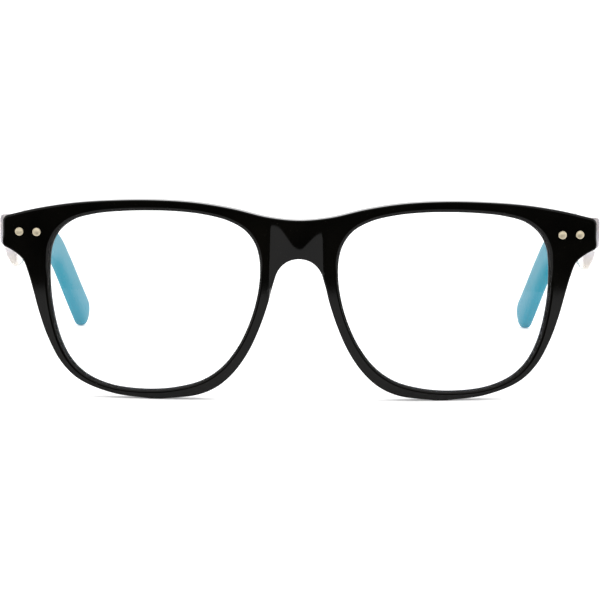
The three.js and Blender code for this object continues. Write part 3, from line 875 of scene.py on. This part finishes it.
def blend(tree, share, first, second):
    """Two colours mixed: the first where the share is 0, the second where it is 1."""
    node = tree.nodes.new("ShaderNodeMix")
    node.data_type = "RGBA"
    sockets = [socket for socket in node.inputs if socket.enabled]
    for source, socket in zip((share, first, second), sockets):
        tree.links.new(source, socket)
    return next(socket for socket in node.outputs if socket.enabled)


def bump(tree, shader, value, strength, distance_mm):
    node = tree.nodes.new("ShaderNodeBump")
    node.inputs["Strength"].default_value = strength
    node.inputs["Distance"].default_value = distance_mm * MM
    tree.links.new(value, node.inputs["Height"])
    tree.links.new(node.outputs["Normal"], shader.inputs["Normal"])


def black_acetate():
    """Polished acetate: deep black, a faint warm cloud in it, and hairline polishing marks in the gloss."""
    material, tree, shader = new_material("black_acetate")
    cloud = noise(tree, 90, 4)
    tree.links.new(ramp(tree, cloud, [(0.3, (0.0008, 0.0008, 0.0007)), (0.7, (0.0022, 0.002, 0.0016))]),
                   shader.inputs["Base Color"])
    marks = noise(tree, 900, 5, 0.65, (1, 1, 6))
    tree.links.new(spread(tree, marks, 0.03, 0.1), shader.inputs["Roughness"])
    shader.inputs["IOR"].default_value = 1.49
    shader.inputs["Specular IOR Level"].default_value = 0.15
    bump(tree, shader, noise(tree, 160, 2), 0.06, 0.05)
    return material


def cut_acetate():
    """The unpolished wall and groove of a lens opening, as the cutter left them."""
    material, tree, shader = new_material("cut_acetate")
    marks = noise(tree, 1500, 4, 0.6)
    tree.links.new(ramp(tree, marks, [(0.3, (0.003, 0.003, 0.0028)), (0.7, (0.008, 0.008, 0.007))]),
                   shader.inputs["Base Color"])
    tree.links.new(spread(tree, marks, 0.55, 0.75), shader.inputs["Roughness"])
    shader.inputs["Specular IOR Level"].default_value = 0.05
    bump(tree, shader, marks, 0.2, 0.02)
    return material


def clear_acetate():
    """Polished crystal acetate: faintly lilac above, and warmer towards the lower edge of the temple."""
    material, tree, shader = new_material("clear_acetate")
    cloud = noise(tree, 60, 3)
    upper = ramp(tree, cloud, [(0.3, (0.76, 0.72, 0.77)), (0.7, (0.82, 0.78, 0.82))])
    lower = ramp(tree, cloud, [(0.3, (0.80, 0.70, 0.56)), (0.7, (0.86, 0.76, 0.63))])
    mixed = blend(tree, height_share(tree, 29.5, 34.0), lower, upper)
    tree.links.new(mixed, shader.inputs["Base Color"])
    marks = noise(tree, 700, 4, 0.6, (1, 1, 5))
    tree.links.new(spread(tree, marks, 0.06, 0.16), shader.inputs["Roughness"])
    shader.inputs["Transmission Weight"].default_value = 0.6
    shader.inputs["IOR"].default_value = 1.47
    bump(tree, shader, noise(tree, 130, 2), 0.05, 0.05)
    return material


def cyan_acetate():
    """Milky cyan acetate, a little cloudy, satin-polished."""
    material, tree, shader = new_material("cyan_acetate")
    cloud = noise(tree, 90, 1)
    tree.links.new(ramp(tree, cloud, [(0.25, (0.012, 0.196, 0.272)), (0.75, (0.017, 0.214, 0.297))]),
                   shader.inputs["Base Color"])
    marks = noise(tree, 800, 4, 0.6, (5, 1, 1))
    tree.links.new(spread(tree, marks, 0.24, 0.34), shader.inputs["Roughness"])
    shader.inputs["IOR"].default_value = 1.48
    shader.inputs["Specular IOR Level"].default_value = 0.03
    shader.inputs["Subsurface Weight"].default_value = 0.04
    shader.inputs["Subsurface Radius"].default_value = (0.4, 1.0, 1.2)
    shader.inputs["Subsurface Scale"].default_value = 0.001
    bump(tree, shader, noise(tree, 220, 2), 0.04, 0.03)
    return material


def lens_resin():
    """Clear resin with a thin anti-reflection film that glances violet-blue."""
    material, tree, shader = new_material("lens_resin")
    shader.inputs["Base Color"].default_value = (0.99, 0.995, 1.0, 1)
    shader.inputs["Transmission Weight"].default_value = 1.0
    shader.inputs["IOR"].default_value = 1.5
    shader.inputs["Thin Film Thickness"].default_value = 110
    shader.inputs["Thin Film IOR"].default_value = 1.38
    smears = noise(tree, 45, 4, 0.6)
    tree.links.new(spread(tree, smears, 0.0, 0.012), shader.inputs["Roughness"])
    return material


def ground_edge_painted_shade():
    """The bevel of a lens, rough as the grinding wheel left it; its dark colour is painted shade of the
    groove it sits in.
    """
    material, tree, shader = new_material("ground_edge_painted_shade")
    marks = noise(tree, 1800, 4, 0.6)
    # these dark greys are painted shade of the groove, not the colour of a bevel from the grinding wheel
    tree.links.new(ramp(tree, marks, [(0.3, (0.05, 0.05, 0.048)), (0.7, (0.09, 0.09, 0.088))]),
                   shader.inputs["Base Color"])
    tree.links.new(spread(tree, marks, 0.6, 0.8), shader.inputs["Roughness"])
    shader.inputs["Specular IOR Level"].default_value = 0.1
    bump(tree, shader, marks, 0.2, 0.02)
    return material


def metal(name, dark, light, rough, polish_stretch):
    """Satin metal with fine tool marks and slight tarnish."""
    material, tree, shader = new_material(name)
    tarnish = noise(tree, 1200, 4, 0.6)
    tree.links.new(ramp(tree, tarnish, [(0.3, dark), (0.7, light)]), shader.inputs["Base Color"])
    marks = noise(tree, 2600, 4, 0.7, polish_stretch)
    tree.links.new(spread(tree, marks, *rough), shader.inputs["Roughness"])
    shader.inputs["Metallic"].default_value = 1.0
    bump(tree, shader, marks, 0.12, 0.02)
    return material


# ---- The stage ----

def make_stage():
    floor_front, floor_back, half_width = -3.0, 5.0, 3.0
    bpy.ops.mesh.primitive_plane_add(size=1)
    floor = bpy.context.object
    floor.name = "floor"
    floor.scale = (2 * half_width, floor_back - floor_front, 1)
    floor.location = (0, (floor_back + floor_front) / 2, -0.00005)
    material, tree, shader = new_material("floor")
    shader.inputs["Base Color"].default_value = (0.96, 0.96, 0.96, 1)
    shader.inputs["Roughness"].default_value = 0.9
    shader.inputs["Specular IOR Level"].default_value = 0.1
    shader.inputs["Emission Color"].default_value = (1, 1, 1, 1)
    shader.inputs["Emission Strength"].default_value = 0.25
    floor.data.materials.append(material)


def make_flag(name, corners):
    """A black card that only gloss sees, as a photographer blocks off the dark side of the room."""
    mesh = bpy.data.meshes.new(name)
    mesh.from_pydata(corners, [], [tuple(range(len(corners)))])
    card = bpy.data.objects.new(name, mesh)
    bpy.context.scene.collection.objects.link(card)
    material, tree, shader = new_material(name)
    shader.inputs["Base Color"].default_value = (0.0, 0.0, 0.0, 1)
    shader.inputs["Roughness"].default_value = 1.0
    shader.inputs["Specular IOR Level"].default_value = 0.0
    card.data.materials.append(material)
    card.visible_camera = False
    card.visible_diffuse = False
    card.visible_shadow = False
    card.visible_transmission = False


def make_flags():
    """One card lies on the floor in front of the glasses and one stands behind it.

    The near edge of the lying card bows with the front, so that the dark upper half of the face ends level.
    """
    near_edge = [(0, 0.289), (0.094, 0.279), (0.185, 0.248), (0.3, 0.19)]
    far, half_width, height, lift = 1.3, 1.3, 0.95, 0.0005
    near = [(-x, -y, lift) for x, y in near_edge[:0:-1]] + [(x, -y, lift) for x, y in near_edge]
    make_flag("floor_flag", near + [(half_width, -far, lift), (-half_width, -far, lift)])
    make_flag("room_flag", [
        (-half_width, -far, 0), (half_width, -far, 0),
        (half_width, -far, height), (-half_width, -far, height),
    ])


def make_softbox(name, size, location, energy):
    lamp = bpy.data.lights.new(name, "AREA")
    lamp.shape = "RECTANGLE"
    lamp.size, lamp.size_y = size
    lamp.energy = energy
    box = bpy.data.objects.new(name, lamp)
    box.location = location
    towards = Vector((0, 0.05, 0.02)) - box.location
    box.rotation_euler = towards.to_track_quat("-Z", "Y").to_euler()
    bpy.context.scene.collection.objects.link(box)


def make_light():
    world = bpy.data.worlds.new("studio")
    bpy.context.scene.world = world
    world.use_nodes = True
    background = world.node_tree.nodes["Background"]
    background.inputs["Color"].default_value = (1, 1, 1, 1)
    background.inputs["Strength"].default_value = 1.3
    make_softbox("overhead", (1.0, 0.8), (0, 0.15, 1.1), 1.5)
    make_softbox("right_side", (0.5, 0.5), (-0.8, 0.15, 0.35), 1.3)
    make_softbox("left_side", (0.5, 0.5), (0.8, 0.15, 0.35), 1.3)


def make_camera():
    distance = 0.794
    pitch = math.radians(6.9)
    turn = math.radians(0.5)
    roll = math.radians(-0.3)
    aim = Vector((-0.00027, FACE_Y * MM, 0.02433))
    data = bpy.data.cameras.new("camera")
    data.sensor_width = 36.0
    data.lens = 200.0
    data.clip_start = 0.02
    camera = bpy.data.objects.new("camera", data)
    back = Vector((math.sin(turn), -math.cos(turn) * math.cos(pitch), math.sin(pitch)))
    camera.location = aim + distance * back
    camera.rotation_euler = (math.pi / 2 - pitch, roll, turn)
    bpy.context.scene.collection.objects.link(camera)
    bpy.context.scene.camera = camera


# ---- Assembly ----

def finish_piece(piece, body, material, node):
    if not piece.data.materials:
        piece.data.materials.append(material)
    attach(piece, body)
    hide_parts(node)


def build():
    black = black_acetate()
    clear = clear_acetate()
    cyan = cyan_acetate()
    resin = lens_resin()
    # the lens bevels are coloured dark: painted shade of their groove
    ground_and_shade = ground_edge_painted_shade()
    nickel = metal("rivet_nickel", (0.58, 0.51, 0.37), (0.74, 0.66, 0.49), (0.4, 0.55), (1, 1, 1))
    steel = metal("hinge_steel", (0.42, 0.42, 0.41), (0.6, 0.6, 0.58), (0.2, 0.38), (1, 1, 8))
    core = metal("core_wire", (0.36, 0.4, 0.44), (0.52, 0.55, 0.58), (0.2, 0.35), (1, 8, 1))
    finish_piece(make_front(black, cut_acetate()), "front_assembly", black, "front")
    for name, side in SIDES:
        front, arm = "front_assembly", f"{name}_temple_arm"
        rows = [
            (make_lens(f"{name}_lens_blank", side, resin, ground_and_shade), front, resin, "lens", "lens"),
            (make_nose_pad(f"{name}_pad", side), front, black, "black_acetate", "nose_pad"),
            (make_front_leaf(f"{name}_front_leaf", side), front, steel, "hinge_steel", "front_hinge_leaf"),
            (make_screw(f"{name}_screw", side), front, steel, "hinge_steel", "hinge_screw"),
            (make_temple_leaf(f"{name}_temple_leaf", side), arm, steel, "hinge_steel", "temple_hinge_leaf"),
            (make_temple(f"{name}_clear_temple", side), arm, clear, "clear_acetate", "temple"),
            (make_temple_tip(f"{name}_cyan_tip", side), arm, cyan, "cyan_acetate", "temple_tip"),
            (make_core_wire(f"{name}_core", side), arm, core, "core_wire", "core_wire"),
        ]
        for at in ("inner", "outer"):
            rows.append((
                make_front_rivet(f"{name}_face_rivet_{at}", side, at), front, nickel, "rivet_nickel",
                f"front_rivet_{at}",
            ))
        for at in ("front", "rear"):
            rows.append((
                make_temple_rivet(f"{name}_side_rivet_{at}", side, at), arm, nickel, "rivet_nickel",
                f"temple_rivet_{at}",
            ))
        for piece, body, material, slot, node in rows:
            finish_piece(piece, body, material, f"{name}_{node}")


build()
make_stage()
make_flags()
make_light()
make_camera()
bpy.context.scene.view_settings.view_transform = "Standard"
